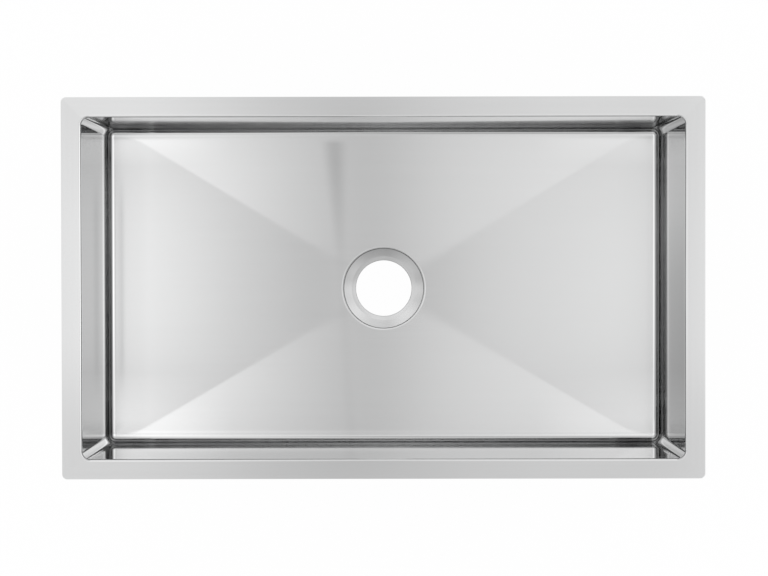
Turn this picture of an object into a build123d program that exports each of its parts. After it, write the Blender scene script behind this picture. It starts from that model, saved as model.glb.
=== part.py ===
"""Undermount kitchen sink of brushed stainless sheet: one rectangular bowl with folded walls,
rolled corners, an X-creased floor that falls to a pressed drain seat, and a mitred flange that
fits under a worktop. The outside is sprayed with a sound coat and carries rubber pads.

The origin lies under the middle of the rim, at the level of the drain neck's lower edge, which
the sink stands on. +X runs along the long side, +Y to the back and +Z up. Sizes are in
millimetres."""

import os
from math import cos, radians, sin, sqrt

from build123d import *

os.makedirs("parts", exist_ok=True)

# Rim and bowl
rim_length = 812.8  # outside of the flange, left to right
rim_width = 482.6  # outside of the flange, front to back
flange_width = 25.4  # from a wall's inner face to the flange's edge
rim_corner_radius = 6.5  # outside corners of the flange, in plan
sheet = 1.5  # thickness of the steel
bowl_depth = 254.0  # from the flange's top down to the drain seat
bend_radius = 3.0  # over the folded edge between flange and wall
cove_radius = 9.5  # between walls and floor, inside
floor_corner_radius = 0.5  # corners of the floor inside the coves, in plan

# Floor
floor_fall = 7.0  # from the ends of the creases to where they would meet
crease_inset = 26.0  # a crease starts this far from the floor's short side
crease_margin = 1.0  # and this far from its long side
outlet_forward = 4.0  # the outlet sits this far in front of the middle

# Drain seat
seat_radius = 57.5  # the hole in the floor, which the seat's rim fills
seat_step = 2.0  # from the floor, left and right of the outlet, down to the seat
dish_radius = 44.5  # where the dished ring ends and the lip begins
dish_fall = 3.0
lip_fall = 1.0
outlet_radius = 38.75  # clear hole, the inner face of the neck
neck_length = 6.5  # from the lip's edge down to the neck's end
step_round = 0.8  # inside round at the foot of the step
neck_round = 2.0  # over the edge into the neck

# Weld beads under the mitres
bead_radius = 1.6
bead_setback = 2.0  # from each end of a mitre

# Sound coat and rubber pads
coat = 1.0
coat_drop = 24.0  # the coat starts this far below the flange's underside
coat_ring = 7.0  # steel left bare around the drain seat
pad_thickness = 4.0
pad_corner_radius = 8.0
long_wall_pad = (420.0, 120.0)
short_wall_pad = (210.0, 120.0)
wall_pad_drop = 118.0  # from the flange's top to the middle of a wall pad
side_floor_pad = (150.0, 165.0)
side_pad_setback = 38.0  # from the ends of the creases to the pad
long_floor_pad = (250.0, 78.0)
long_pad_setback = 18.0

# Levels, from the neck's lower edge up
lip_level = neck_length
dish_level = lip_level + lip_fall
seat_level = dish_level + dish_fall
rim_level = seat_level + bowl_depth

# The bowl in plan
bowl_length = rim_length - 2 * flange_width
bowl_width = rim_width - 2 * flange_width
corner_radius = cove_radius + floor_corner_radius
corner_x = bowl_length / 2 - corner_radius
corner_y = bowl_width / 2 - corner_radius
corner_reach = flange_width + corner_radius  # from the flange's edge to a corner's upright axis

# The creased field and its levels
crease_x = bowl_length / 2 - cove_radius - crease_inset
crease_y = bowl_width / 2 - cove_radius - crease_margin
side_slope = floor_fall / crease_x
front_slope = floor_fall / (crease_y - outlet_forward)
back_slope = floor_fall / (crease_y + outlet_forward)
meeting_level = seat_level + seat_step - side_slope * seat_radius
floor_level = meeting_level + floor_fall
pan_level = floor_level + cove_radius
coat_level = rim_level - sheet - coat_drop

outlet_axis = Axis((0, -outlet_forward, 0), (0, 0, 1))
SIDES = {"right": 0, "back": 90, "left": 180, "front": 270}
CORNERS = {"back_right": 0, "back_left": 90, "front_left": 180, "front_right": 270}


def direction(angle):
    """A level unit vector, anticlockwise from +X."""
    return Vector(round(cos(radians(angle)), 9), round(sin(radians(angle)), 9), 0)


def across(side):
    """Distance from the rim's middle to a wall's inner face."""
    return bowl_length / 2 if side in ("left", "right") else bowl_width / 2


def save(piece, name):
    """Labels a finished piece and writes its file."""
    piece.part.label = name
    export_step(piece.part, f"parts/{name}.step")


def bowl_form(grow):
    """The bowl's inside as one solid, with its walls and floor moved outwards by grow."""
    with BuildPart() as form:
        with BuildSketch(Plane.XY.offset(floor_level - grow)):
            RectangleRounded(bowl_length + 2 * grow, bowl_width + 2 * grow, corner_radius + grow)
        extrude(amount=rim_level - floor_level + grow)
        fillet(form.faces().sort_by(Axis.Z)[0].edges(), cove_radius + grow)
        with BuildSketch(Plane.XY.offset(floor_level - grow), mode=Mode.PRIVATE) as field:
            Rectangle(2 * crease_x, 2 * crease_y)
        meeting_point = Vertex(0, -outlet_forward, meeting_level - grow)
        loft(sections=[meeting_point, field.sketch.face()], ruled=True)
    return form.part


def wall_section():
    """Wall and folded edge in section: x outwards from the wall's inner face, y the height."""
    fold_level = rim_level - bend_radius
    with BuildSketch() as section:
        with BuildLine():
            Line((0, pan_level), (0, fold_level))
            CenterArc((bend_radius, fold_level), bend_radius, 90, 90)
            Line((bend_radius, rim_level), (bend_radius, rim_level - sheet))
            CenterArc((bend_radius, fold_level), bend_radius - sheet, 90, 90)
            Line((sheet, fold_level), (sheet, pan_level))
            Line((sheet, pan_level), (0, pan_level))
        make_face()
    return section.sketch


def wall_panel(side):
    """A wall folded over at the top into its stretch of flange, cut at 45 degrees at both ends."""
    out = direction(SIDES[side])
    along = out.cross(Vector(0, 0, 1))
    run = corner_y if side in ("left", "right") else corner_x
    reach = rim_length / 2 if side in ("left", "right") else rim_width / 2
    ends = rim_width / 2 if side in ("left", "right") else rim_length / 2
    with BuildPart() as panel:
        with BuildSketch(Plane(origin=out * across(side), x_dir=out, z_dir=along)):
            add(wall_section())
        extrude(amount=run, both=True)
        with BuildSketch(Plane.XY.offset(rim_level - sheet)):
            RectangleRounded(rim_length, rim_width, rim_corner_radius)
            RectangleRounded(
                bowl_length + 2 * bend_radius,
                bowl_width + 2 * bend_radius,
                corner_radius + bend_radius,
                mode=Mode.SUBTRACT,
            )
            with BuildLine():
                outer_left = out * reach - along * ends
                outer_right = out * reach + along * ends
                inner_right = outer_right - (out + along) * corner_reach
                inner_left = outer_left - (out - along) * corner_reach
                Polyline(outer_left, outer_right, inner_right, inner_left, close=True)
            make_face(mode=Mode.INTERSECT)
        extrude(amount=sheet)
    return panel


def corner_piece(corner):
    """A quarter turn of the wall and its folded edge, between two wall panels."""
    start = direction(CORNERS[corner])
    end = direction(CORNERS[corner] + 90)
    toward = start + end
    axis_point = Vector(corner_x * toward.X, corner_y * toward.Y, 0)
    with BuildPart() as piece:
        plane = Plane(
            origin=axis_point + start * corner_radius,
            x_dir=start,
            z_dir=start.cross(Vector(0, 0, 1)),
        )
        with BuildSketch(plane):
            add(wall_section())
        revolve(axis=Axis(axis_point, (0, 0, 1)), revolution_arc=90)
    return piece


inside = bowl_form(0)
steel_outside = bowl_form(sheet)
coat_outside = bowl_form(sheet + coat)

# Walls with their stretches of flange
for side in SIDES:
    save(wall_panel(side), f"wall_{side}")

# Rolled corners
for corner in CORNERS:
    save(corner_piece(corner), f"corner_{corner}")

# Floor pan: coves, creased floor and the hole for the drain seat
with BuildPart() as floor_pan:
    add(steel_outside)
    add(inside, mode=Mode.SUBTRACT)
    split(bisect_by=Plane.XY.offset(pan_level), keep=Keep.BOTTOM)
    with BuildSketch():
        with Locations((0, -outlet_forward)):
            Circle(seat_radius)
    extrude(amount=rim_level, mode=Mode.SUBTRACT)
save(floor_pan, "floor_pan")

# Drain seat: stepped rim, dished ring, lip and neck, trimmed level with the creased floor
with BuildPart() as drain_seat:
    with BuildSketch(Plane.XZ.offset(outlet_forward)):
        with BuildLine():
            FilletPolyline(
                (seat_radius - sheet, floor_level + cove_radius),
                (seat_radius - sheet, seat_level),
                (dish_radius, dish_level),
                (outlet_radius, lip_level),
                (outlet_radius, 0),
                radius=[step_round, step_round, neck_round],
            )
            offset(amount=sheet, side=Side.LEFT)
        make_face()
    revolve(axis=outlet_axis)
    add(inside, mode=Mode.SUBTRACT)
save(drain_seat, "drain_seat")

# Weld beads on the underside of the four mitres
mitre_start = corner_radius + bend_radius + bead_setback
mitre_end = corner_reach * sqrt(2) - rim_corner_radius * (sqrt(2) - 1) - bead_setback
with BuildPart() as rim_welds:
    for corner, angle in CORNERS.items():
        toward = direction(angle) + direction(angle + 90)
        slant = toward / sqrt(2)
        axis_point = Vector(corner_x * toward.X, corner_y * toward.Y, rim_level - sheet)
        plane = Plane(origin=axis_point + slant * mitre_start, x_dir=(0, 0, -1), z_dir=slant)
        with BuildSketch(plane):
            Circle(bead_radius)
            Rectangle(
                bead_radius,
                2 * bead_radius,
                align=(Align.MAX, Align.CENTER),
                mode=Mode.SUBTRACT,
            )
        extrude(amount=mitre_end - mitre_start)
save(rim_welds, "rim_welds")

# Sprayed sound coat over the outside of walls, corners, coves and floor
with BuildPart() as undercoat:
    add(coat_outside)
    add(steel_outside, mode=Mode.SUBTRACT)
    split(bisect_by=Plane.XY.offset(coat_level), keep=Keep.BOTTOM)
    with BuildSketch():
        with Locations((0, -outlet_forward)):
            Circle(seat_radius + coat_ring)
    extrude(amount=rim_level, mode=Mode.SUBTRACT)
save(undercoat, "undercoat")

# Rubber pads in the middle of each wall, on the coat
for side, angle in SIDES.items():
    out = direction(angle)
    size = short_wall_pad if side in ("left", "right") else long_wall_pad
    face = out * (across(side) + sheet + coat) + Vector(0, 0, rim_level - wall_pad_drop)
    with BuildPart() as wall_pad:
        with BuildSketch(Plane(origin=face, x_dir=Vector(0, 0, 1).cross(out), z_dir=out)):
            RectangleRounded(*size, pad_corner_radius)
        extrude(amount=pad_thickness)
    save(wall_pad, f"wall_pad_{side}")

# Rubber pads under the four fields of the creased floor, on the coat
FLOOR_FIELDS = {
    "right": (side_slope, crease_x),
    "back": (back_slope, crease_y + outlet_forward),
    "left": (side_slope, crease_x),
    "front": (front_slope, crease_y - outlet_forward),
}
for side, (slope, field_depth) in FLOOR_FIELDS.items():
    out = direction(SIDES[side])
    if side in ("left", "right"):
        depth, span = side_floor_pad
        setback = side_pad_setback
    else:
        span, depth = long_floor_pad
        setback = long_pad_setback
    place = field_depth - setback - depth / 2
    underside = meeting_level - sheet - coat + slope * place
    middle = out * place + Vector(0, -outlet_forward, underside)
    facing = out * slope - Vector(0, 0, 1)
    with BuildPart() as floor_pad:
        with BuildSketch(Plane(origin=middle, x_dir=out + Vector(0, 0, slope), z_dir=facing)):
            RectangleRounded(depth, span, pad_corner_radius)
        extrude(amount=pad_thickness)
    save(floor_pad, f"floor_pad_{side}")
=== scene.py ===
"""Undermount kitchen sink of brushed stainless sheet: the visible pieces, their finishes and the
studio around them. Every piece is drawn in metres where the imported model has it."""

import math

import bmesh
import bpy
from bpy.props import FloatProperty, FloatVectorProperty, IntProperty, PointerProperty
from mathutils import Matrix, Vector, noise


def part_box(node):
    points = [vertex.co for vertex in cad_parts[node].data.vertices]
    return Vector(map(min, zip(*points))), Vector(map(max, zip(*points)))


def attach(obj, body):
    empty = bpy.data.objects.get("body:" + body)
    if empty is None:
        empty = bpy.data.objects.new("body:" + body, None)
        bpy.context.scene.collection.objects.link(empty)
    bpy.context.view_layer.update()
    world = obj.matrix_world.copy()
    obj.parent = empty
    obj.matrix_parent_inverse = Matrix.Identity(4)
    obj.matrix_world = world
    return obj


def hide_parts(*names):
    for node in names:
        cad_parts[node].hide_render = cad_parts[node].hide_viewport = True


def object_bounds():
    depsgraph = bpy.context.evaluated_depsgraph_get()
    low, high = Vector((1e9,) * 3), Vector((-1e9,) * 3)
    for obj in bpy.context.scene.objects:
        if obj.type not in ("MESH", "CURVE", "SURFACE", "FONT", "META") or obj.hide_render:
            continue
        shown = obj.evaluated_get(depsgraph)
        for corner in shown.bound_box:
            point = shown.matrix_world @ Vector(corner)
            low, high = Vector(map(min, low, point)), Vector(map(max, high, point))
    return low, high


bl_info = {
    "name": "Undermount Sink",
    "version": (1, 0, 0),
    "blender": (4, 5, 0),
    "location": "View3D > Sidebar > Sink",
    "description": "Builds a single-bowl undermount sink of brushed steel",
    "category": "Add Mesh",
}

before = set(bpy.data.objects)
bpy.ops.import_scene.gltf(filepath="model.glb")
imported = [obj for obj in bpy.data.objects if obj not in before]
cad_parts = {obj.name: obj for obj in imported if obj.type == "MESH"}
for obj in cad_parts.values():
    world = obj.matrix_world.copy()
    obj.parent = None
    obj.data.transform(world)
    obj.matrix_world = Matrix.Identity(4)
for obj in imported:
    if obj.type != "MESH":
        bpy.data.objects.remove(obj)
CAD_LOW, CAD_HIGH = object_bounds()
PAN_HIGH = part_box("floor_pan")[1]
SEAT_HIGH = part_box("drain_seat")[1]
COAT_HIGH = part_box("undercoat")[1]

SIDES = {"right": (1, 0, 0), "back": (0, 1, 0), "left": (-1, 0, 0), "front": (0, -1, 0)}
CORNERS = ("front_left", "front_right", "back_left", "back_right")
QUARTERS = [(turn_x, turn_y) for turn_x in (-1, 1) for turn_y in (-1, 1)]
ARC_STEPS = 40
WALL_STEPS = 6
FOLD_STEPS = 12
COVE_TURNS = [math.radians(turn) for turn in (1, 3, *range(6, 87, 4), 88, 90)]
SAME = 1e-6  # edges and levels closer than this are one
CLOSE = 1e-5  # places in plan closer than this are one
SEAM = math.radians(35)  # faces that meet at a wider angle keep a sharp edge
BRIGHTEST_PAINTED_LIGHT = 1.3  # the brightest painted light on the steel, where 1 is the plain sheet
GROOVE = 0.0000006  # depth of the brushing
BLACK = (0, 0, 0, 1)
WHITE = (1, 1, 1, 1)


def length(name, description, default):
    """A size in metres that a user can change."""
    return FloatProperty(name=name, description=description, default=default, precision=5, unit="LENGTH")


def share(name, description, default):
    """A value between 0 and 1."""
    return FloatProperty(name=name, description=description, default=default, min=0, max=1, subtype="FACTOR")


def gradient(name, description, default):
    """A slope, as rise over run, that a user can change."""
    return FloatProperty(name=name, description=description, default=default, precision=4)


def colour(name, description, default):
    """A colour that a user can change."""
    return FloatVectorProperty(
        name=name, description=description, default=default, min=0, max=1, subtype="COLOR"
    )


class SinkSizes(bpy.types.PropertyGroup):
    """Sizes of the sink's sheet metal, coat and pads."""

    rim_length: length("Rim length", "Outside of the flange, left to right", CAD_HIGH.x - CAD_LOW.x)
    rim_width: length("Rim width", "Outside of the flange, front to back", CAD_HIGH.y - CAD_LOW.y)
    rim_level: length("Rim level", "Height of the flange's top", CAD_HIGH.z)
    flange_width: length("Flange width", "From a wall's inner face to the flange's edge", 0.0254)
    rim_corner_radius: length("Rim corner", "Radius of the flange's outside corners", 0.0065)
    sheet: length("Sheet", "Thickness of the steel", 0.0015)
    edge_round: length("Edge round", "Broken edge around the flange", 0.0003)
    back_lean: gradient("Back wall lean", "Lean of the back wall's foot", 0.0215)
    front_lean: gradient("Front wall lean", "Lean of the front wall's foot", 0.028)
    right_lean: gradient("Right wall lean", "Lean of the right wall's foot", 0.041)
    strip_lean: gradient("Strip lean", "Slope of the floor at its short sides", 0.055)
    bend_radius: length("Bend radius", "Over the folded edge between flange and wall", 0.003)
    corner_radius: length("Corner radius", "Upright corners of the bowl, inside", 0.010)
    cove_radius: length("Cove radius", "Between walls and floor, inside", 0.0095)
    pan_level: length("Pan level", "Where the walls meet the floor pan", PAN_HIGH.z)
    floor_fall: length("Floor fall", "From the crease ends to where they would meet", 0.007)
    crease_inset: length("Crease inset", "From the floor's short side to a crease's end", 0.026)
    crease_margin: length("Crease margin", "From the floor's long side to a crease's end", 0.001)
    crease_width: length("Crease width", "Half the width of a crease at its outer end", 0.0012)
    crease_fade: length("Crease fade", "Half the width of a crease at the outlet", 0.009)
    outlet_forward: length("Outlet forward", "The outlet's place in front of the middle", 0.004)
    seat_radius: length("Seat radius", "Hole in the floor that the drain seat fills", SEAT_HIGH.x)
    seat_level: length("Seat level", "Height of the drain seat's ledge", 0.0105)
    dish_radius: length("Dish radius", "Where the dish ends and the lip begins", 0.0445)
    dish_level: length("Dish level", "Height of the dish's inner end", 0.0075)
    outlet_radius: length("Outlet radius", "Clear hole of the drain", 0.03875)
    lip_level: length("Lip level", "Height of the lip's edge", 0.0065)
    coin_width: length("Coined ring", "How far the floor is coined down around the drain seat", 0.0007)
    coin_slope: gradient("Coined slope", "Fall of the coined ring towards the outlet", 0.158)
    bead_radius: length("Bead radius", "Weld bead under a mitre", 0.0016)
    coat: length("Coat", "Thickness of the sound coat", 0.001)
    coat_level: length("Coat level", "Upper edge of the sound coat", COAT_HIGH.z)
    coat_ring: length("Coat ring", "Steel left bare around the drain seat", 0.007)
    pad: length("Pad", "Thickness of the rubber pads", 0.004)
    pad_corner: length("Pad corner", "Corner radius of the rubber pads", 0.008)
    pad_edge: length("Pad edge", "Soft outer edge of the rubber pads", 0.0009)

    @property
    def bowl_half(self):
        """Half the bowl's inside, along x and y."""
        return Vector((self.rim_length / 2 - self.flange_width, self.rim_width / 2 - self.flange_width))

    @property
    def corner_axis(self):
        """Place of the back right corner's upright axis."""
        return self.bowl_half - Vector((self.corner_radius, self.corner_radius))

    @property
    def outline_axis(self):
        """Place of the upright axis of the flange's back right outside corner."""
        radius = self.rim_corner_radius
        return Vector((self.rim_length / 2 - radius, self.rim_width / 2 - radius))

    @property
    def floor_level(self):
        """Where the coves meet the floor."""
        return self.pan_level - self.cove_radius

    @property
    def meeting_level(self):
        """Where the four falls would meet without the outlet."""
        return self.floor_level - self.floor_fall

    @property
    def crease_end(self):
        """Outer end of the back right crease."""
        inset = Vector((self.crease_inset, self.crease_margin))
        return self.bowl_half - Vector((self.cove_radius, self.cove_radius)) - inset

    @property
    def outlet(self):
        """Middle of the outlet, in plan."""
        return Vector((0, -self.outlet_forward))


class SinkFinishes(bpy.types.PropertyGroup):
    """Colours and sheen of the finishes."""

    steel: colour("Steel", "Brushed stainless steel", (0.665, 0.667, 0.668))
    steel_roughness: share("Steel roughness", "Spread of the steel's reflections", 0.12)
    steel_grain: share("Steel grain", "How much wider the reflections spread across the brushing", 0.4)
    buffing: share("Buffing", "Share of the roughness that the felt wheel takes off the coves", 0.55)
    sound_coat: colour("Sound coat", "Sprayed coat on the outside", (0.30, 0.31, 0.32))
    rubber: colour("Rubber", "Rubber pads", (0.05, 0.05, 0.055))


class StudioSettings(bpy.types.PropertyGroup):
    """Light and lens."""

    camera_lens: FloatProperty(name="Lens", description="Focal length in millimetres", default=92.47, min=1)
    floor: colour("Floor", "Plain pale floor", (0.95, 0.95, 0.95))
    floor_glow: share("Floor glow", "How far the floor shows as white to camera and metal", 0.97)
    reflections: IntProperty(
        name="Reflections", description="How often light may glance off the steel", default=12
    )


class Value:
    """A number socket that can be used in plain sums."""

    def __init__(self, paint, socket):
        self.paint = paint
        self.socket = socket

    def sum(self, operation, *values):
        """Adds a Math node."""
        return self.paint.value("ShaderNodeMath", {"operation": operation}, dict(enumerate(values)))

    def __add__(self, other):
        return self.sum("ADD", self, other)

    __radd__ = __add__

    def __sub__(self, other):
        return self.sum("SUBTRACT", self, other)

    def __rsub__(self, other):
        return self.sum("SUBTRACT", other, self)

    def __mul__(self, other):
        return self.sum("MULTIPLY", self, other)

    __rmul__ = __mul__

    def __truediv__(self, other):
        return self.sum("DIVIDE", self, other)

    def __pow__(self, other):
        return self.sum("POWER", self, other)

    def __gt__(self, other):
        return self.sum("GREATER_THAN", self, other)

    def magnitude(self):
        return self.sum("ABSOLUTE", self)


class Paint:
    """A material that is filled node by node."""

    def __init__(self, name):
        self.material = bpy.data.materials.new(name)
        self.material.use_nodes = True
        self.tree = self.material.node_tree
        self.tree.nodes.clear()

    def node(self, kind, settings=None, sockets=None):
        """Adds a node: its settings first, then the values or links of its sockets."""
        made = self.tree.nodes.new(kind)
        for name, setting in (settings or {}).items():
            if name == "stops":
                for index, (place, shade) in enumerate(setting):
                    stops = made.color_ramp.elements
                    stop = stops[index] if index < 2 else stops.new(place)
                    stop.position = place
                    stop.color = (shade, shade, shade, 1)
            elif name == "blend":
                made.color_ramp.interpolation = setting
            else:
                setattr(made, name, setting)
        for name, given in (sockets or {}).items():
            given = given.socket if isinstance(given, Value) else given
            if isinstance(given, bpy.types.NodeSocket):
                self.tree.links.new(given, made.inputs[name])
            else:
                made.inputs[name].default_value = given
        return made

    def value(self, kind, settings=None, sockets=None):
        """Adds a node and returns its first output as a number."""
        return Value(self, self.node(kind, settings, sockets).outputs[0])

    def place(self):
        """Object coordinates, the same for every piece."""
        return self.node("ShaderNodeTexCoord").outputs["Object"]

    def axes(self):
        """Object coordinates as three numbers."""
        parts = self.node("ShaderNodeSeparateXYZ", None, {"Vector": self.place()})
        return [Value(self, part) for part in parts.outputs]

    def speckle(self, scale, detail=2.0, roughness=0.5, shift=(0, 0, 0), place=None):
        """Noise drawn out by scale, a number of waves per metre along each axis of a place."""
        sockets = {"Vector": place or self.place(), "Scale": scale, "Location": shift}
        drawn = self.node("ShaderNodeMapping", None, sockets).outputs[0]
        sockets = {"Vector": drawn, "Scale": 1.0, "Detail": detail, "Roughness": roughness}
        return self.value("ShaderNodeTexNoise", None, sockets)

    def spread(self, number, low, high, out_low=0.0, out_high=1.0):
        """Maps a number from one range to another, and holds it there."""
        return self.value("ShaderNodeMapRange", None, {0: number, 1: low, 2: high, 3: out_low, 4: out_high})

    def curve(self, number, points, top=1.0):
        """Maps a number through a smooth curve of (number, value) points with values up to top."""
        low, high = points[0][0], points[-1][0]
        stops = [((place - low) / (high - low), level / top) for place, level in points]
        along = self.spread(number, low, high)
        return self.value("ShaderNodeValToRGB", {"stops": stops, "blend": "CARDINAL"}, {0: along}) * top

    def blend(self, amount, first, second):
        """Mixes two colours by a number."""
        sockets = {0: amount, 6: first, 7: second}
        return self.node("ShaderNodeMix", {"data_type": "RGBA"}, sockets).outputs[2]

    def leaned(self, axis, slope):
        """The surface's own direction, leaned over by a slope along an axis."""
        own = self.node("ShaderNodeNewGeometry").outputs["Normal"]
        shift = self.node("ShaderNodeCombineXYZ", None, {axis: slope}).outputs[0]
        turned = self.node("ShaderNodeVectorMath", {"operation": "SUBTRACT"}, {0: own, 1: shift}).outputs[0]
        return self.node("ShaderNodeVectorMath", {"operation": "NORMALIZE"}, {0: turned}).outputs[0]

    def bump(self, height, distance, under=None):
        """The surface's direction over a relief, laid on another direction if one is given."""
        sockets = {"Height": height, "Distance": distance}
        if under is not None:
            sockets["Normal"] = under
        return self.node("ShaderNodeBump", None, sockets).outputs[0]

    def finish(self, shader):
        """Makes a shader the material's surface."""
        self.node("ShaderNodeOutputMaterial", None, {"Surface": shader.outputs[0]})
        return self.material

    def skin(self, tint, rough, normal, more=None):
        """Finishes the material as an opaque skin, where more gives further sockets."""
        sockets = {"Base Color": tint, "Roughness": rough, "Normal": normal, **(more or {})}
        return self.finish(self.node("ShaderNodeBsdfPrincipled", None, sockets))

    def glow(self, level, strongest=1.0):
        """Finishes the material as a light, whose brightness is a number up to strongest."""
        tint = self.blend(level / strongest, BLACK, WHITE)
        return self.finish(self.node("ShaderNodeEmission", None, {"Color": tint, "Strength": strongest}))


def scaled(tint, amount):
    """A colour made brighter or darker, as sockets take it."""
    return (*(part * amount for part in tint), 1)


def eased(number):
    """A number from 0 to 1 that leaves 0 and reaches 1 gently, plain or in a material."""
    return number * number * (3 - 2 * number)


def mixed(amount, first, second):
    """A number of a material between two others."""
    return first * (1 - amount) + second * amount


def sizes():
    return bpy.context.scene.sink_sizes


def finishes():
    return bpy.context.scene.sink_finishes


def steel_paint(name, grain, painted_light, roughness=1.0, turned=False, lean=None, buffed=None):
    """Brushed stainless steel. Grain is the number of brush waves per metre along each axis. Where
    turned, the brushing runs in rings about the outlet instead. From the paint and the object
    coordinates, the third argument gives the painted light and shade on the steel, as a multiple of the
    plain sheet, lean the axis and slope of the sheet's slow bends, and buffed how far the buffing left it
    smoother, from 0 to 1."""
    look = finishes()
    paint = Paint(name)
    x, y, z = paint.axes()
    ground = paint.place()
    if turned:
        forward = y + sizes().outlet_forward
        ring = (x * x + forward * forward) ** 0.5
        angle = forward.sum("ARCTAN2", forward, x)
        ground = paint.node("ShaderNodeCombineXYZ", None, {0: ring, 1: angle, 2: z}).outputs[0]
    fine = paint.speckle(Vector(grain) * 4.0, 3.0, 0.65, place=ground)
    broad = paint.speckle(Vector(grain) * 0.5, shift=(3.1, 7.7, 1.3), place=ground)
    cloud = paint.speckle((7, 7, 7), shift=(0.4, 2.2, 5.0))
    streak = fine * 0.6 + broad * 0.4
    dark, light = scaled(look.steel, 0.975 * BRIGHTEST_PAINTED_LIGHT), scaled(look.steel, 1.025 * BRIGHTEST_PAINTED_LIGHT)
    tint = paint.blend(paint.spread(streak, 0.3, 0.7), dark, light)
    # Painted light and shade: the tint is scaled by the painted level against the brightest one
    tint = paint.blend(painted_light(paint, x, y, z) / BRIGHTEST_PAINTED_LIGHT, BLACK, tint)
    sheen = look.steel_roughness * roughness
    rough = paint.spread(streak * 0.6 + cloud * 0.4, 0.3, 0.7, sheen * 0.9, sheen * 1.1)
    if buffed:
        rough = rough * (1 - buffed(paint, x, y, z) * look.buffing)
    bend = paint.leaned(*lean(paint, x, y, z)) if lean else None
    more = {"Metallic": 1.0, "Anisotropic": look.steel_grain, "Anisotropic Rotation": 0.25}
    return paint.skin(tint, rough, paint.bump(fine, GROOVE, bend), more)


def bead_paint():
    """Weld bead: bare steel with a rougher skin and heat tints."""
    paint = Paint("weld_bead_steel")
    scale = paint.speckle((900, 900, 900), 3.0, 0.6)
    heat = paint.spread(paint.speckle((60, 60, 60)), 0.35, 0.7)
    tint = paint.blend(heat, scaled(finishes().steel, 0.8), (0.42, 0.36, 0.30, 1))
    rough = paint.spread(scale, 0.3, 0.7, 0.32, 0.5)
    return paint.skin(tint, rough, paint.bump(scale, 0.00015), {"Metallic": 1.0})


def coat_paint():
    """Sprayed sound coat: matte grey with a pebbled skin and thinner patches."""
    grey = finishes().sound_coat
    paint = Paint("sprayed_sound_coat")
    pebbles = paint.speckle((420, 420, 420), 3.0, 0.55)
    grains = paint.speckle((1700, 1700, 1700))
    patches = paint.speckle((11, 11, 16), 3.0)
    shade = paint.spread(pebbles * 0.5 + patches * 0.5, 0.35, 0.65)
    tint = paint.blend(shade, scaled(grey, 0.88), scaled(grey, 1.1))
    height = paint.spread(pebbles, 0.35, 0.7) + grains * 0.25
    return paint.skin(tint, paint.spread(pebbles, 0.3, 0.7, 0.86, 0.68), paint.bump(height, 0.0004))


def rubber_paint():
    """Black rubber with a fine grain and dusty patches."""
    black = finishes().rubber
    paint = Paint("pad_rubber_black")
    grain = paint.speckle((1500, 1500, 1500))
    dust = paint.speckle((35, 35, 35), 4.0, 0.6)
    tint = paint.blend(paint.spread(dust, 0.45, 0.8), scaled(black, 0.9), scaled(black, 1.9))
    return paint.skin(tint, paint.spread(dust, 0.3, 0.8, 0.62, 0.85), paint.bump(grain, 0.00012))


def away_from_axis(s, co):
    """Nearest point of the rectangle through the four corner axes, and the way out from it."""
    limit = s.corner_axis
    nearest = Vector((max(-limit.x, min(limit.x, co.x)), max(-limit.y, min(limit.y, co.y))))
    return nearest, (co.xy - nearest).normalized()


def raised(spot, level):
    """A place in plan, put at a level."""
    return Vector((*spot, level))


def at_level(part, level):
    """Whether an edge or face lies flat at a level."""
    return all(abs(v.co.z - level) < SAME for v in part.verts)


def sorted_out(geom):
    """An operator's results as a list of vertices and a list of edges."""
    verts = [g for g in geom if isinstance(g, bmesh.types.BMVert)]
    return verts, [g for g in geom if isinstance(g, bmesh.types.BMEdge)]


def bevelled(bm, geom, radius, steps, affect="EDGES"):
    """Rounds edges, or the corners of a flat outline."""
    bmesh.ops.bevel(bm, geom=geom, offset=radius, segments=steps, profile=0.5, affect=affect, material=-1)


def rounded_quad(bm, half, level, radius, steps):
    """Flat rectangle with rounded corners, given by half its length and width."""
    quad = bmesh.ops.create_grid(bm, x_segments=1, y_segments=1, size=1)["verts"]
    bmesh.ops.scale(bm, vec=(*half, 1), verts=quad)
    bmesh.ops.translate(bm, vec=(0, 0, level), verts=quad)
    bevelled(bm, quad, radius, steps, "VERTICES")


def first_loop(bm, s, reach, level, steps=ARC_STEPS, cuts=(0, 0)):
    """The bowl's rounded outline, moved outwards from the walls' inner faces by reach. Cuts divide its
    long and its short runs."""
    rounded_quad(bm, s.bowl_half + Vector((reach, reach)), level, s.corner_radius + reach, steps)
    bmesh.ops.delete(bm, geom=bm.faces[:], context="FACES_ONLY")
    for across, count in zip((1, 0), cuts):
        if count:
            straight = [e for e in bm.edges if e.calc_length() > s.corner_radius]
            runs = [e for e in straight if abs(e.verts[0].co[across] - e.verts[1].co[across]) < CLOSE]
            bmesh.ops.subdivide_edges(bm, edges=runs, cuts=count)
    return bm.edges[:]


def next_loop(bm, edges, move):
    """Draws a loop out to its next place, where move gives each corner's new place."""
    verts, edges = sorted_out(bmesh.ops.extrude_edge_only(bm, edges=edges)["geom"])
    for v in verts:
        v.co = move(v.co)
    return edges


def bowl_loop(bm, s, edges, reach, level):
    """Next loop of the bowl's outline, moved outwards from the walls' inner faces by reach."""

    def move(co):
        nearest, out = away_from_axis(s, co)
        return raised(nearest + out * (s.corner_radius + reach), level)

    return next_loop(bm, edges, move)


def rim_loop(bm, s, edges, inset):
    """Next loop of the flange's outline, moved inwards from its edge by inset."""

    def move(co):
        axis = Vector((math.copysign(s.outline_axis.x, co.x), math.copysign(s.outline_axis.y, co.y)))
        out = away_from_axis(s, co)[1] if inset else (co.xy - axis).normalized()
        return raised(axis + out * (s.rim_corner_radius - inset), s.rim_level)

    return next_loop(bm, edges, move)


def face_up(bm):
    """Turns a skin so that it faces up and into the bowl."""
    bmesh.ops.recalc_face_normals(bm, faces=bm.faces[:])
    if sum(face.calc_area() * face.normal.z for face in bm.faces) < 0:
        bmesh.ops.reverse_faces(bm, faces=bm.faces[:])


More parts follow.
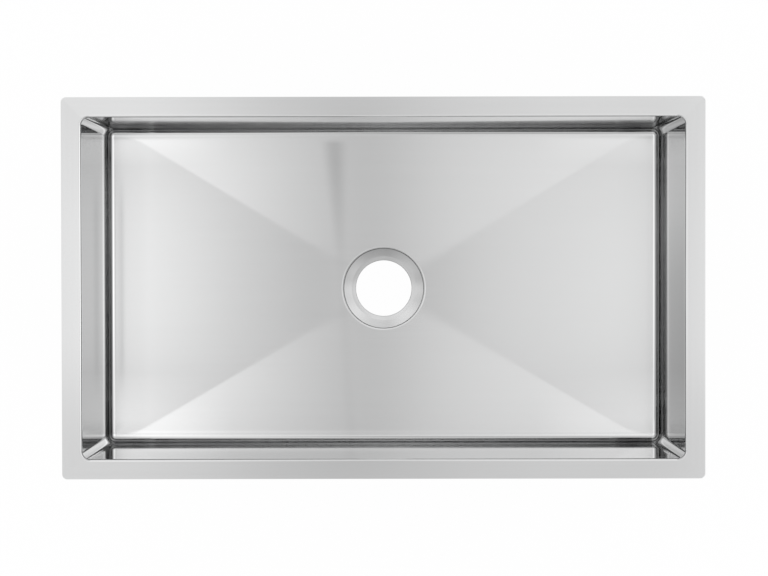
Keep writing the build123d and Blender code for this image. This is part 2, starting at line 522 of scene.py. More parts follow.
def rim_skin(s):
    """Inner face of walls, corners and folded edge, with the flange's top, as one skin."""
    bm = bmesh.new()
    beside_fold, inside_edge, past_fold = 0.0006, 0.0006, 0.0004  # loops that keep the sheet flat there
    edges = first_loop(bm, s, 0, s.pan_level)
    fold_level = s.rim_level - s.bend_radius
    rise = fold_level - beside_fold - s.pan_level
    for step in range(1, WALL_STEPS + 1):
        edges = bowl_loop(bm, s, edges, 0, s.pan_level + rise * step / WALL_STEPS)
    edges = bowl_loop(bm, s, edges, 0, fold_level)
    for step in range(1, FOLD_STEPS + 1):
        turn = math.radians(90 * step / FOLD_STEPS)
        reach = s.bend_radius * (1 - math.cos(turn))
        edges = bowl_loop(bm, s, edges, reach, fold_level + s.bend_radius * math.sin(turn))
    edges = bowl_loop(bm, s, edges, s.bend_radius + past_fold, s.rim_level)
    edges = rim_loop(bm, s, edges, inside_edge)
    rim_loop(bm, s, edges, 0)
    face_up(bm)
    return bm


def region(s, face):
    """The wall or corner that a face of the rim's skin belongs to."""
    middle = face.calc_center_median()
    x_name = "right" if middle.x > 0 else "left"
    y_name = "back" if middle.y > 0 else "front"
    over = Vector((abs(middle.x), abs(middle.y))) - s.corner_axis
    if at_level(face, s.rim_level):
        return x_name if over.x > over.y else y_name
    if over.x <= 0:
        return y_name
    if over.y <= 0:
        return x_name
    return f"{y_name}_{x_name}"


def on_outline(s, co):
    """Whether a point lies on the flange's outer edge."""
    over = Vector((max(abs(co.x) - s.outline_axis.x, 0), max(abs(co.y) - s.outline_axis.y, 0)))
    return abs(over.length - s.rim_corner_radius) < SAME


def rim_part(s, name):
    """One wall or corner cut from the rim's skin, as sheet with its outer edges broken."""
    bm = rim_skin(s)
    others = [f for f in bm.faces if region(s, f) != name]
    bmesh.ops.delete(bm, geom=others, context="FACES")
    bmesh.ops.solidify(bm, geom=bm.faces[:], thickness=s.sheet)
    outer = [e for e in bm.edges if all(on_outline(s, v.co) for v in e.verts)]
    edge = [e for e in outer if abs(e.verts[0].co.z - e.verts[1].co.z) < SAME]
    if edge:
        bevelled(bm, edge, s.edge_round, 3)
    return bm


def floor_height(s, x, y):
    """Height of the creased floor above its meeting level."""
    ease = 0.00035  # height over which the short sides' falls round off
    widening = 0.19  # the creases grow wider from this distance to the seat
    unseen = 0.012  # the creases stop being soft this far before their ends
    end = s.crease_end
    away = y + s.outlet_forward
    side = s.floor_fall / end.x * abs(x)
    if abs(side - s.floor_fall) < ease:
        side = min(side, s.floor_fall) - (ease - abs(side - s.floor_fall)) ** 2 / (4 * ease)
    side = min(side, s.floor_fall)
    depth = end.y + math.copysign(s.outlet_forward, away)
    along = min(s.floor_fall / depth * abs(away), s.floor_fall)
    ring = math.hypot(x, away)
    near = max(0.0, min(1.0, (widening - ring) / (widening - s.seat_radius)))
    half_width = s.crease_width + (s.crease_fade - s.crease_width) * eased(near)
    soft = half_width * math.hypot(s.floor_fall / end.x, s.floor_fall / depth)
    high = max(side, along)
    gap = abs(side - along)
    if gap < soft and ring < end.length - unseen:
        high += (soft - gap) ** 2 / (4 * soft)
    return min(high, s.floor_fall)


def rays_loop(bm, s, edges, ratio):
    """Draws a loop in towards the outlet, to a share of its distance."""
    return next_loop(bm, edges, lambda co: raised(s.outlet + (co.xy - s.outlet) * ratio, co.z))


def ring_loop(bm, s, edges, radius):
    """Draws a loop in to a circle about the outlet."""
    return next_loop(bm, edges, lambda co: raised(s.outlet + (co.xy - s.outlet).normalized() * radius, co.z))


def verts_at(bm, level):
    """The vertices that lie at a level."""
    return [v for v in bm.verts if abs(v.co.z - level) < SAME]


def merge_corners(bm, s, level):
    """Makes each small arc of the floor's outline one corner."""
    limit = s.corner_axis
    reach = s.corner_radius - s.cove_radius
    for turn_x, turn_y in QUARTERS:
        side = [v for v in verts_at(bm, level) if v.co.x * turn_x > limit.x - CLOSE]
        arc = [v for v in side if v.co.y * turn_y > limit.y - CLOSE]
        corner = Vector((turn_x * (limit.x + reach), turn_y * (limit.y + reach), level))
        bmesh.ops.pointmerge(bm, verts=arc, merge_co=corner)


CREASE_CUTS = (-0.016, -0.009, -0.005, -0.0026, -0.0013, 0, 0.0013, 0.0026, 0.005, 0.009, 0.016)


def cut_creases(bm, s, level):
    """Cuts the flat floor along its four creases, and in lines beside them."""
    for turn_x, turn_y in QUARTERS:
        line = Vector((turn_x * s.crease_end.x, turn_y * s.crease_end.y)) - s.outlet
        across = Vector((-line.y, line.x, 0)).normalized()
        for aside in CREASE_CUTS:
            faces = []
            for face in bm.faces:
                away = face.calc_center_median().xy - s.outlet
                if away.x * turn_x > 0 and away.y * turn_y > 0 and at_level(face, level):
                    faces.append(face)
            parts = {part for f in faces for part in (*f.edges, *f.verts)}
            place = s.outlet.to_3d() + across * aside
            bmesh.ops.bisect_plane(bm, geom=faces + list(parts), dist=SAME, plane_co=place, plane_no=across)


# Loops between the floor's outline and its hole: shares of the way in, then distances from the hole
FLOOR_LOOPS = (0.004, 0.012, 0.024, 0.036, 0.048, 0.06, 0.075, 0.1, 0.16, 0.25, 0.35, 0.44)
HOLE_RINGS = (0.040, 0.032, 0.025, 0.019, 0.014, 0.010, 0.007, 0.0045, 0.0025, 0.0013, 0.0007, 0.0003, 0)


def creased_floor(bm, s, below, hole, lip=0.0):
    """Fills the floor inside the coves: four falls between soft creases and a round hole. The last
    stretch before the hole is coined down at a slope, from lip outside its edge."""
    level = s.floor_level - below
    merge_corners(bm, s, level)
    edges = [e for e in bm.edges if e.is_boundary and at_level(e, level)]
    last = 0.0
    for way in FLOOR_LOOPS:
        edges = rays_loop(bm, s, edges, (1 - way) / (1 - last))
        last = way
    for outside in HOLE_RINGS:
        edges = ring_loop(bm, s, edges, hole + outside)
    cut_creases(bm, s, level)
    edge_of_hole = hole + lip
    for v in verts_at(bm, level):
        v.co.z = s.meeting_level - below + floor_height(s, v.co.x, v.co.y)
        ring = (v.co.xy - s.outlet).length
        if lip and ring < edge_of_hole:
            v.co.z -= (edge_of_hole - ring) * s.coin_slope


def cove_loops(bm, s, edges, outside=0.0):
    """Sweeps the cove from the walls' foot down to the floor, outside moved out by a thickness."""
    radius = s.cove_radius + outside
    for turn in COVE_TURNS:
        reach = outside - radius * (1 - math.cos(turn))
        edges = bowl_loop(bm, s, edges, reach, s.pan_level - radius * math.sin(turn))


def floor_pan(s):
    """Coves and creased floor, as sheet."""
    bm = bmesh.new()
    edges = first_loop(bm, s, 0, s.pan_level, cuts=(72, 40))
    cove_loops(bm, s, edges)
    creased_floor(bm, s, 0, s.seat_radius, s.coin_width)
    face_up(bm)
    bmesh.ops.solidify(bm, geom=bm.faces[:], thickness=s.sheet)
    return bm


def spun(profile, centre, steps):
    """Turns a closed section, given as (radius, height), once around an upright axis."""
    bm = bmesh.new()
    line = [bm.verts.new((radius, 0, height)) for radius, height in profile]
    edges = [bm.edges.new(pair) for pair in zip(line, line[1:] + line[:1])]
    bmesh.ops.spin(
        bm, geom=line + edges, cent=(0, 0, 0), axis=(0, 0, 1), angle=math.tau, steps=steps, use_merge=True
    )
    bmesh.ops.remove_doubles(bm, verts=bm.verts[:], dist=1e-7)
    bmesh.ops.recalc_face_normals(bm, faces=bm.faces[:])
    bmesh.ops.translate(bm, vec=centre, verts=bm.verts[:])
    return bm


def rounded(points, radii, steps=8):
    """Rounds the inner points of a section line by arcs of the given radii."""
    line = [Vector(points[0])]
    for before, point, after, radius in zip(points, points[1:], points[2:], radii):
        before, point, after = Vector(before), Vector(point), Vector(after)
        to_before = (before - point).normalized()
        to_after = (after - point).normalized()
        half = to_before.angle(to_after) / 2
        middle = point + (to_before + to_after).normalized() * (radius / math.sin(half))
        start = point + to_before * (radius / math.tan(half)) - middle
        end = point + to_after * (radius / math.tan(half)) - middle
        for step in range(steps + 1):
            line.append(middle + start.slerp(end, step / steps) * radius)
    line.append(Vector(points[-1]))
    return line


def drain_seat(s):
    """Coined ring, step, dish, lip and neck of the drain, spun as one sheet. Its upper edge follows
    the floor's falls around the hole."""
    top = s.meeting_level + floor_height(s, s.seat_radius, -s.outlet_forward)
    lip_top = top - s.coin_width * s.coin_slope
    wall = s.seat_radius - s.sheet
    slant = 0.0009  # how far the step's foot stands in front of its head
    upper = [
        (s.seat_radius, lip_top),
        (wall, lip_top - s.sheet * s.coin_slope),
        (wall - slant, s.seat_level),
        (s.dish_radius, s.dish_level),
        (s.outlet_radius, s.lip_level),
        (s.outlet_radius, 0),
    ]
    under = [
        (s.outlet_radius + s.sheet, 0),
        (s.outlet_radius + s.sheet, s.lip_level - s.sheet),
        (s.dish_radius, s.dish_level - s.sheet),
        (s.seat_radius, s.seat_level - s.sheet),
        (s.seat_radius, lip_top),
    ]
    section = rounded(upper, [0.0003, 0.0004, 0.004, 0.0009]) + rounded(under, [0.0012, 0.003, 0.0012])[:-1]
    bm = spun(section, (0, -s.outlet_forward, 0), 160)
    foot = s.seat_level + 0.0008  # the step stretches from here
    head = lip_top - 0.0006  # up to here, and above it moves as a whole
    for v in bm.verts:
        if v.co.z > foot:
            edge = s.outlet + (v.co.xy - s.outlet).normalized() * s.seat_radius
            rise = s.meeting_level + floor_height(s, edge.x, edge.y) - top
            v.co.z += rise * min(1.0, (v.co.z - foot) / (head - foot))
    return bm


def rim_welds(s):
    """Rippled weld beads under the four mitres of the flange, thinner at their ends."""
    bm = bmesh.new()
    under = s.rim_level - s.sheet
    clear = 0.002  # between a bead's ends and the bend or the flange's corner
    first = s.corner_radius + s.bend_radius + clear
    last = (s.flange_width + s.corner_radius) * math.sqrt(2)
    last -= s.rim_corner_radius * (math.sqrt(2) - 1) + clear
    steps, ripple_steps, ripple_depth, thinnest, ends = 80, 4, 0.07, 0.05, 12
    for turn_x, turn_y in QUARTERS:
        along = Vector((turn_x, turn_y, 0)).normalized()
        centre = Vector((turn_x * s.corner_axis.x, turn_y * s.corner_axis.y, under)) + along * first
        facing = Matrix.Translation(centre) @ along.to_track_quat("Z", "Y").to_matrix().to_4x4()
        fresh = bmesh.ops.create_circle(bm, cap_ends=True, segments=16, radius=1, matrix=facing)["verts"]
        for v in fresh:
            v.co.z = min(v.co.z, under)
        edges = list({e for v in fresh for e in v.link_edges})
        size = 1.0
        shift = along * ((last - first) / steps)
        for step in range(steps + 1):
            if step:
                fresh, edges = sorted_out(bmesh.ops.extrude_edge_only(bm, edges=edges)["geom"])
                bmesh.ops.translate(bm, vec=shift, verts=fresh)
                centre = centre + shift
            done = step / steps
            wave = math.sin(step * math.tau / ripple_steps + turn_x + 2 * turn_y)
            thickness = max(thinnest, min(1.0, ends * done, ends * (1 - done))) ** 0.5
            wanted = s.bead_radius * (1 - ripple_depth + ripple_depth * wave) * thickness
            ratio = wanted / size
            bmesh.ops.scale(bm, vec=(ratio, ratio, ratio), space=Matrix.Translation(-centre), verts=fresh)
            size = wanted
        bmesh.ops.contextual_create(bm, geom=edges)
    bmesh.ops.recalc_face_normals(bm, faces=bm.faces[:])
    return bm


def unevenness(spot):
    """A noise between 0 and 1."""
    return 0.5 + 0.5 * noise.noise(spot)


def undercoat(s):
    """Sprayed coat over the outside, feathered at its upper edge and slightly lumpy."""
    bm = bmesh.new()
    edges = first_loop(bm, s, s.sheet + 0.25 * s.coat, s.coat_level, steps=20, cuts=(110, 62))
    edges = bowl_loop(bm, s, edges, s.sheet + 0.75 * s.coat, s.coat_level - 0.0009)
    outside = s.sheet + s.coat
    top = s.coat_level - 0.0026
    drop = s.pan_level - top
    steps = 16
    for step in range(steps + 1):
        edges = bowl_loop(bm, s, edges, outside, top + drop * step / steps)
    cove_loops(bm, s, edges, outside)
    creased_floor(bm, s, outside, s.seat_radius + s.coat_ring)
    face_up(bm)
    bmesh.ops.reverse_faces(bm, faces=bm.faces[:])
    bm.normal_update()
    lump_depth, edge_depth = 0.00022, 0.0022
    for v in bm.verts:
        v.co -= v.normal * (lump_depth * unevenness(v.co * 60))
        if v.co.z > s.coat_level - 0.002:
            v.co.z -= edge_depth * unevenness(Vector((v.co.x * 55, v.co.y * 55, 0.3)))
    bmesh.ops.solidify(bm, geom=bm.faces[:], thickness=s.coat * 0.7)
    return bm


def pad_block(s, width, depth, place):
    """Rubber pad with rounded corners and a soft outer edge, put in place by a matrix."""
    bm = bmesh.new()
    rounded_quad(bm, (width / 2, depth / 2), 0, s.pad_corner, 10)
    grown = bmesh.ops.extrude_face_region(bm, geom=bm.faces[:], use_keep_orig=True)["geom"]
    bmesh.ops.translate(bm, vec=(0, 0, s.pad), verts=sorted_out(grown)[0])
    bmesh.ops.recalc_face_normals(bm, faces=bm.faces[:])
    bevelled(bm, [e for e in bm.edges if at_level(e, s.pad)], s.pad_edge, 4)
    bmesh.ops.transform(bm, matrix=place, verts=bm.verts[:])
    return bm


def axes_matrix(origin, across, out):
    """Place of a pad: its width along across, its thickness along out."""
    out = out.normalized()
    across = across.normalized()
    turn = Matrix((across, out.cross(across), out)).transposed()
    return Matrix.Translation(origin) @ turn.to_4x4()


def shown(name, bm, paint):
    """Puts a finished mesh into the scene."""
    mesh = bpy.data.meshes.new(name)
    bm.to_mesh(mesh)
    bm.free()
    mesh.materials.append(paint)
    made = bpy.data.objects.new(name, mesh)
    bpy.context.scene.collection.objects.link(made)
    return made


def show_piece(name, bm, node, paint, brushed_about=None):
    """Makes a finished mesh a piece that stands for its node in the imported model. Its steel can be
    brushed in rings about a point."""
    made = shown(name, bm, paint)
    mesh = made.data
    mesh.shade_smooth()
    mesh.set_sharp_from_angle(angle=SEAM)
    if brushed_about is not None:
        mesh.use_auto_texspace = False
        mesh.texspace_location = brushed_about
        mesh.texspace_size = (1, 1, 1)
    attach(made, "root")
    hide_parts(node)


def show_stage(name, bm, paint, metal_only=False):
    """Makes a mesh part of the studio. Metal-only pieces face inwards and show in the metal's
    reflections alone."""
    if metal_only:
        bmesh.ops.reverse_faces(bm, faces=bm.faces[:])
    made = shown(name, bm, paint)
    for rays in ("camera", "diffuse", "transmission", "volume_scatter", "shadow"):
        setattr(made, f"visible_{rays}", not metal_only)


FAR = 60.0  # brushing in rings about a point this far away runs straight
ALONG_X = (0, -FAR, 0)
ALONG_Y = (-FAR, 0, 0)

# Painted light and shade along a piece, as (place, level), where 1 is the plain sheet
BACK_PAINTED_LIGHT = [
    (-0.38, 0.72), (-0.24, 0.84), (-0.12, 0.98), (0.0, 1.2), (0.08, 1.25), (0.2, 1.1), (0.3, 1.0),
    (0.38, 0.9),
]
FRONT_PAINTED_LIGHT = [
    (-0.38, 0.42), (-0.24, 0.58), (-0.12, 0.88), (0.0, 1.25), (0.08, 1.2), (0.2, 1.0), (0.3, 0.85),
    (0.38, 0.7),
]
LEFT_PAINTED_LIGHT = [
    (-0.22, 0.55), (-0.17, 0.62), (-0.1, 0.86), (0.0, 0.93), (0.13, 0.88), (0.165, 0.78), (0.19, 0.66),
    (0.22, 0.8),
]
RIGHT_PAINTED_LIGHT = [
    (-0.22, 0.4), (-0.15, 0.42), (-0.08, 0.48), (0.02, 0.65), (0.08, 0.9), (0.16, 1.03), (0.19, 0.68),
    (0.22, 0.7),
]
COVE_PAINTED_LIGHT = [
    (-0.385, 1.0), (-0.36, 1.05), (-0.32, 1.28), (-0.12, 1.2), (0.0, 0.98), (0.28, 1.0), (0.36, 1.05),
    (0.385, 1.12),
]


def below_fold(paint, z):
    """1 on the upright sheet, and 0 from the start of the folded edge."""
    fold = sizes().rim_level - sizes().bend_radius
    return paint.spread(z, fold - 0.001, fold, 1.0, 0.0)


class SINK_OT_walls(bpy.types.Operator):
    """Four walls, each folded over into its mitred stretch of flange"""

    bl_idname = "sink.walls"
    bl_label = "Walls"

    def with_painted_fold_highlight(self, paint, z, wall, flange):
        """The folded edge gets a painted highlight, and the flange keeps near the plain sheet's level, with
        slight painted light and shade that differs by side.
        """
        top = sizes().rim_level
        above_wall = paint.spread(z, top - 0.0033, top - 0.0025)
        on_flange = paint.spread(z, top - 0.0002, top - 0.00002)
        return wall * (1 - above_wall) + (above_wall - on_flange) * BRIGHTEST_PAINTED_LIGHT + on_flange * flange

    def long_painted_light(self, paint, x, y, z):
        """Painted light and shade on the long walls, brightest in their middle."""
        at_back = y > 0
        front, back = (paint.curve(x, points, BRIGHTEST_PAINTED_LIGHT) for points in (FRONT_PAINTED_LIGHT, BACK_PAINTED_LIGHT))
        return self.with_painted_fold_highlight(paint, z, mixed(at_back, front, back), at_back * 0.03 + 0.99)

    def short_painted_light(self, paint, x, y, z):
        """Painted shade on the short walls beside the corners and a painted highlight at their foot. The
        right one also has painted shade towards the front."""
        on_right = x > 0
        left, right = (paint.curve(y, points, BRIGHTEST_PAINTED_LIGHT) for points in (LEFT_PAINTED_LIGHT, RIGHT_PAINTED_LIGHT))
        painted_shade = paint.spread(y, -0.06, 0.1, 0.35, 0.04) * paint.spread(z, 0.09, 0.15) * on_right
        foot = paint.spread(z, 0.028, 0.09, 1.0, 0.0)
        painted_highlight = foot * foot * (on_right * 0.6 + 0.4) + 1
        wall = mixed(on_right, left, right) * (1 - painted_shade) * painted_highlight
        return self.with_painted_fold_highlight(paint, z, wall, on_right * 0.015 + 0.985)

    def bow(self, paint, z, level, width, low, high):
        """A wall leans over by a hair, as sheet does between its two folds: by one slope below a level
        and by another above it."""
        return paint.spread(z, level, level + width, low, high) * below_fold(paint, z)

    def long_bow(self, paint, x, y, z):
        """Axis and slope of the long walls' bows."""
        s = sizes()
        bends = [(-0.38, 0.016), (-0.25, 0.016), (-0.05, 0.009), (0.15, 0.009), (0.38, 0.016)]
        upper = paint.curve(x, bends, 0.02)
        back = self.bow(paint, z, 0.158 + x.magnitude() * 0.1, 0.02, s.back_lean, upper)
        front = self.bow(paint, z, 0.116, 0.03, s.front_lean, 0.0)
        return "Z", mixed(y > 0, front, back)

    def short_bow(self, paint, x, y, z):
        """Axis and slope of the right wall's bow."""
        upper = paint.spread(y, -0.06, 0.1, 0.021, 0.015)
        return "Z", self.bow(paint, z, 0.1, 0.018, sizes().right_lean, upper) * (x > 0)

    def execute(self, context):
        s = context.scene.sink_sizes
        long_paint = steel_paint(
            "steel_brushed_along", (5, 620, 620), self.long_painted_light, roughness=0.5, lean=self.long_bow
        )
        short_paint = steel_paint(
            "steel_brushed_across", (620, 5, 620), self.short_painted_light, roughness=0.5, lean=self.short_bow
        )
        for side, out in SIDES.items():
            paint, along = (short_paint, ALONG_Y) if out[0] else (long_paint, ALONG_X)
            show_piece(f"{side}_wall", rim_part(s, side), f"wall_{side}", paint, brushed_about=along)
        return {"FINISHED"}


class SINK_OT_corners(bpy.types.Operator):
    """Four rolled corners of the bowl"""

    bl_idname = "sink.corners"
    bl_label = "Corners"

    def painted_shade(self, paint, x, y, z):
        """Painted shade on the right corners below the folded edge, the back one darkest."""
        return 1 - (x > 0) * below_fold(paint, z) * ((y > 0) * 0.3 + 0.3)

    def execute(self, context):
        s = context.scene.sink_sizes
        paint = steel_paint("steel_brushed_round", (5, 5, 620), self.painted_shade, roughness=0.5)
        for name in CORNERS:
            about = s.corner_axis.to_3d()
            about.x *= 1 if "right" in name else -1
            about.y *= 1 if "back" in name else -1
            corner = rim_part(s, name)
            show_piece(f"{name}_corner", corner, f"corner_{name}", paint, brushed_about=about)
        return {"FINISHED"}


class SINK_OT_floor_pan(bpy.types.Operator):
    """Coved floor with four falls between its creases"""

    bl_idname = "sink.floor_pan"
    bl_label = "Floor pan"

    def streak(self, paint, x, y):
        """A soft dark streak of painted reflection behind the outlet."""
        away = (x + 0.0575 + y * 0.055).magnitude()
        width = paint.spread(y, 0.05, 0.2, 0.012, 0.023)
        depth = paint.spread(y, 0.03, 0.17, 0.03, 0.2) * paint.spread(y, 0.196, 0.204, 1.0, 0.0)
        return 1 - eased(paint.spread(away / width, 0.0, 1.0, 1.0, 0.0)) * depth

    def floor_painted_light(self, paint, x, y, z):
        """Painted light on the flat of the floor: painted highlights near its corners and along its front
        edge, a line of painted shade at its left edge and the painted reflection streak. The coves get
        painted highlights on the left and at the right."""
        front = y * -1
        back = paint.spread(y, 0.165, 0.198, 0.0, 0.7) * paint.spread(y, 0.2015, 0.204, 1.0, 0.0)
        corner = (paint.spread(front, 0.12, 0.185) + back) * paint.spread(x.magnitude(), 0.21, 0.36)
        corner = corner * paint.spread(x, -0.3, 0.3, 0.28, 0.2)
        edge = paint.spread(front, 0.2, 0.203) * paint.spread(x, -0.05, 0.1, 0.1, 0.02)
        line = paint.spread((x + 0.3635).magnitude(), 0.0, 0.006, 0.15, 0.0)
        line = line * paint.spread(y.magnitude(), 0.1, 0.16, 1.0, 0.0)
        flat = self.streak(paint, x, y) + corner + edge - line
        return mixed(self.coves(paint, x, y, z), flat, paint.curve(x, COVE_PAINTED_LIGHT, BRIGHTEST_PAINTED_LIGHT))

    def edge_rise(self, paint, x, y, z):
        """The floor rises by a hair towards its short sides."""
        s = sizes()
        edge = s.bowl_half.x - s.cove_radius
        start, end = s.crease_end.x - 0.02, edge + 0.02
        steepest = s.strip_lean * (end - start) / (edge - start)
        return "X", paint.spread(x.magnitude(), start, end, 0.0, steepest) * x.sum("SIGN", x)

    def coves(self, paint, x, y, z):
        """The coves are buffed by a felt wheel, which leaves them smoother than the floor."""
        level = sizes().floor_level
        return paint.spread(z, level + 0.00005, level + 0.0006)

    def execute(self, context):
        s = context.scene.sink_sizes
        paint = steel_paint(
            "steel_brushed_floor", (5, 620, 620), self.floor_painted_light, lean=self.edge_rise, buffed=self.coves
        )
        show_piece("creased_floor", floor_pan(s), "floor_pan", paint, brushed_about=ALONG_X)
        return {"FINISHED"}


class SINK_OT_drain_seat(bpy.types.Operator):
    """Pressed seat of the drain"""

    bl_idname = "sink.drain_seat"
    bl_label = "Drain seat"

    def painted_dish_light(self, paint, x, y, z):
        """Painted light on the dish: a little lighter towards the front, with painted shade at its sides."""
        return 0.94 - (y + sizes().outlet_forward) * 3.4 + x * 0.93 - x.magnitude() * 5.0

    def execute(self, context):
        s = context.scene.sink_sizes
        paint = steel_paint("steel_turned", (900, 0.8, 900), self.painted_dish_light, roughness=1.6, turned=True)
        about = (0, -s.outlet_forward, 0)
        show_piece("pressed_drain", drain_seat(s), "drain_seat", paint, brushed_about=about)
        return {"FINISHED"}


class SINK_OT_rim_welds(bpy.types.Operator):
    """Weld beads under the flange's mitres"""

    bl_idname = "sink.rim_welds"
    bl_label = "Rim welds"

    def execute(self, context):
        s = context.scene.sink_sizes
        show_piece("mitre_welds", rim_welds(s), "rim_welds", bead_paint())
        return {"FINISHED"}


class SINK_OT_undercoat(bpy.types.Operator):
    """Sprayed sound coat on the outside"""

    bl_idname = "sink.undercoat"
    bl_label = "Sound coat"

    def execute(self, context):
        s = context.scene.sink_sizes
        show_piece("sound_coat", undercoat(s), "undercoat", coat_paint())
        return {"FINISHED"}


# Pads under the short and the long fields of the floor: depth, span and distance from the field's edge
SHORT_FIELD_PAD = (0.150, 0.165, 0.038)
LONG_FIELD_PAD = (0.078, 0.250, 0.018)


class SINK_OT_pads(bpy.types.Operator):
    """Rubber pads on the walls and under the floor"""

    bl_idname = "sink.pads"
    bl_label = "Rubber pads"

    def execute(self, context):
        s = context.scene.sink_sizes
        paint = rubber_paint()
        up = Vector((0, 0, 1))
        for side, direction in SIDES.items():
            out = Vector(direction)
            low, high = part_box(f"wall_pad_{side}")
            middle = (low + high) / 2 - out * (s.pad / 2)
            across = up.cross(out)
            width = abs((high - low).dot(across))
            block = pad_block(s, width, high.z - low.z, axes_matrix(middle, across, out))
            show_piece(f"{side}_wall_pad", block, f"wall_pad_{side}", paint)
            depth, span, setback = SHORT_FIELD_PAD if out.x else LONG_FIELD_PAD
            field = (s.crease_end.x if out.x else s.crease_end.y) + s.outlet_forward * out.y
            slope = s.floor_fall / field
            place = field - setback - depth / 2
            level = s.meeting_level - s.sheet - s.coat + slope * place
            middle = out * place + Vector((0, -s.outlet_forward, level))
            block = pad_block(s, depth, span, axes_matrix(middle, out + up * slope, out * slope - up))
            show_piece(f"{side}_floor_pad", block, f"floor_pad_{side}", paint)
        return {"FINISHED"}


# Brightness of the light panel along x over the middle and the margins of the sink, and along y
PANEL_MIDDLE = [
    (-3.6, 0.5), (-2.9, 0.8), (-2.0, 1.25), (-1.3, 1.28), (-0.9, 1.13), (-0.66, 1.28), (-0.5, 1.18),
    (-0.4, 1.06), (-0.3, 0.93), (-0.2, 0.84), (-0.1, 0.73), (-0.02, 0.73), (0.1, 0.86), (0.2, 0.95),
    (0.4, 1.04), (0.6, 1.10), (0.8, 1.03), (1.0, 1.35), (2.3, 1.6), (3.0, 1.35), (3.6, 0.9),
]
PANEL_MARGIN = [
    (-3.6, 0.4), (-2.6, 0.7), (-1.3, 1.1), (-0.8, 1.04), (-0.6, 1.0), (-0.4, 0.9), (-0.2, 0.81),
    (0.0, 0.82), (0.2, 0.89), (0.4, 0.94), (0.8, 1.0), (1.6, 1.3), (2.6, 1.2), (3.6, 0.7),
]
PANEL_DEPTH = [
    (-3.0, 0.4), (-2.1, 0.66), (-1.3, 1.0), (-0.9, 1.1), (-0.5, 0.92), (-0.2, 1.0), (0.5, 1.0),
    (0.9, 1.12), (1.35, 1.06), (2.2, 0.74), (3.0, 0.45),
]
CAMERA_PLACE = (0.0055, 0.0367, 2.754)
CAMERA_TURN = (-0.844, 0.108, -0.103)  # degrees away from straight down
PANEL_HALF = (3.6, 3.0)
PANEL_LEVEL = 2.95
DOME_RADIUS = 6.0
DOME_LIGHT = [(0, 0.85), (8, 0.6), (14, 0.4), (24, 0.4), (34, 0.5), (42, 0.6), (90, 0.6)]  # by elevation


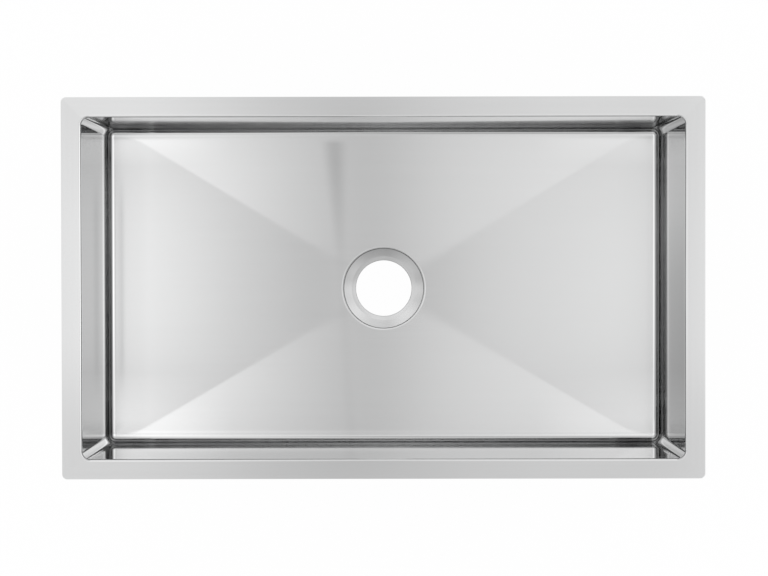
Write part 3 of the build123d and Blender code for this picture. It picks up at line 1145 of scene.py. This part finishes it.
class SINK_OT_stage(bpy.types.Operator):
    """Pale floor, soft light and camera"""

    bl_idname = "sink.stage"
    bl_label = "Studio"

    def lay_floor(self, studio):
        """The floor takes light as a matt one, and shows almost white to camera and metal."""
        paint = Paint("studio_floor_pale")
        rays = paint.node("ShaderNodeLightPath").outputs
        seen = Value(paint, rays["Is Camera Ray"]) + Value(paint, rays["Is Glossy Ray"])
        seen = seen.sum("MAXIMUM", seen, Value(paint, rays["Is Transmission Ray"]))
        mottle = paint.speckle((3, 3, 3))
        tint = paint.blend(mottle, scaled(studio.floor, 0.99), scaled(studio.floor, 1.0))
        matt = paint.node("ShaderNodeBsdfDiffuse", None, {"Color": tint}).outputs[0]
        white = paint.node("ShaderNodeEmission", None, {"Color": WHITE, "Strength": 1.0}).outputs[0]
        share_of_white = seen.sum("MINIMUM", seen, 1.0) * studio.floor_glow
        both = paint.node("ShaderNodeMixShader", None, {0: share_of_white, 1: matt, 2: white})
        bm = bmesh.new()
        bmesh.ops.create_grid(bm, x_segments=2, y_segments=2, size=9)
        show_stage("studio_floor", bm, paint.finish(both))

    def hang_panel(self):
        """A panel over the sink, whose uneven light the metal mirrors."""
        paint = Paint("studio_light_panel")
        x, y = paint.axes()[:2]
        strongest = 2.0
        middle, margin = (paint.curve(x, points, strongest) for points in (PANEL_MIDDLE, PANEL_MARGIN))
        level = mixed(paint.spread(y.magnitude(), 0.15, 0.55), middle, margin)
        light = paint.glow(level * paint.curve(y, PANEL_DEPTH, 1.2), strongest)
        bm = bmesh.new()
        bmesh.ops.create_grid(bm, x_segments=8, y_segments=8, size=1)
        bmesh.ops.scale(bm, vec=(*PANEL_HALF, 1), verts=bm.verts[:])
        bmesh.ops.translate(bm, vec=(0, 0, PANEL_LEVEL), verts=bm.verts[:])
        show_stage("studio_light_panel", bm, light, metal_only=True)

    def raise_dome(self):
        """A dome around the studio, brighter at its foot and towards its front and back."""
        paint = Paint("studio_dome")
        y, z = paint.axes()[1:]
        points = [(math.sin(math.radians(angle)), level) for angle, level in DOME_LIGHT]
        level = paint.curve(z / DOME_RADIUS, points) * paint.spread(y.magnitude(), 1.5, 4.5, 1.0, 1.7)
        bm = bmesh.new()
        bmesh.ops.create_uvsphere(bm, u_segments=48, v_segments=24, radius=DOME_RADIUS)
        whole = bm.verts[:] + bm.edges[:] + bm.faces[:]
        bmesh.ops.bisect_plane(bm, geom=whole, plane_co=(0, 0, 0), plane_no=(0, 0, -1), clear_outer=True)
        show_stage("studio_dome", bm, paint.glow(level), metal_only=True)

    def whiten_world(self, scene):
        """White all around, beyond the studio."""
        scene.world = bpy.data.worlds.new("studio_white")
        scene.world.use_nodes = True
        back = scene.world.node_tree.nodes["Background"]
        back.inputs["Color"].default_value = WHITE
        back.inputs["Strength"].default_value = 1.0

    def hang_camera(self, scene, studio):
        """The camera hangs over the sink and looks down."""
        eye = bpy.data.cameras.new("camera")
        eye.lens = studio.camera_lens
        eye.sensor_width = 36
        eye.clip_end = 50
        camera = bpy.data.objects.new("camera", eye)
        scene.collection.objects.link(camera)
        turn = Matrix.Identity(4)
        for angle, axis in zip(CAMERA_TURN, "XYZ"):
            turn = turn @ Matrix.Rotation(math.radians(angle), 4, axis)
        camera.matrix_world = Matrix.Translation(CAMERA_PLACE) @ turn
        scene.camera = camera

    def execute(self, context):
        scene = context.scene
        studio = scene.sink_studio
        self.lay_floor(studio)
        self.hang_panel()
        self.raise_dome()
        self.whiten_world(scene)
        self.hang_camera(scene, studio)
        scene.view_settings.view_transform = "Standard"
        scene.cycles.glossy_bounces = studio.reflections
        # With the steel's own guides, the denoiser leaves grain in its dark reflections
        scene.cycles.denoising_input_passes = "RGB"
        return {"FINISHED"}


class SINK_PT_panel(bpy.types.Panel):
    """Lists the sink's pieces"""

    bl_label = "Undermount Sink"
    bl_idname = "SINK_PT_panel"
    bl_space_type = "VIEW_3D"
    bl_region_type = "UI"
    bl_category = "Sink"

    def draw(self, context):
        for maker in OPERATORS:
            self.layout.operator(maker.bl_idname)
        for group in ("sink_sizes", "sink_finishes", "sink_studio"):
            values = getattr(context.scene, group)
            box = self.layout.box()
            for name in values.__annotations__:
                box.prop(values, name)


GROUPS = {"sink_sizes": SinkSizes, "sink_finishes": SinkFinishes, "sink_studio": StudioSettings}
OPERATORS = (
    SINK_OT_walls,
    SINK_OT_corners,
    SINK_OT_floor_pan,
    SINK_OT_drain_seat,
    SINK_OT_rim_welds,
    SINK_OT_undercoat,
    SINK_OT_pads,
    SINK_OT_stage,
)


def register():
    for kind in (*GROUPS.values(), *OPERATORS, SINK_PT_panel):
        bpy.utils.register_class(kind)
    for name, kind in GROUPS.items():
        setattr(bpy.types.Scene, name, PointerProperty(type=kind))


def unregister():
    for name in GROUPS:
        delattr(bpy.types.Scene, name)
    for kind in reversed((*GROUPS.values(), *OPERATORS, SINK_PT_panel)):
        bpy.utils.unregister_class(kind)


def main():
    register()
    bpy.ops.sink.walls()
    bpy.ops.sink.corners()
    bpy.ops.sink.floor_pan()
    bpy.ops.sink.drain_seat()
    bpy.ops.sink.rim_welds()
    bpy.ops.sink.undercoat()
    bpy.ops.sink.pads()
    bpy.ops.sink.stage()


if __name__ == "__main__":
    main()
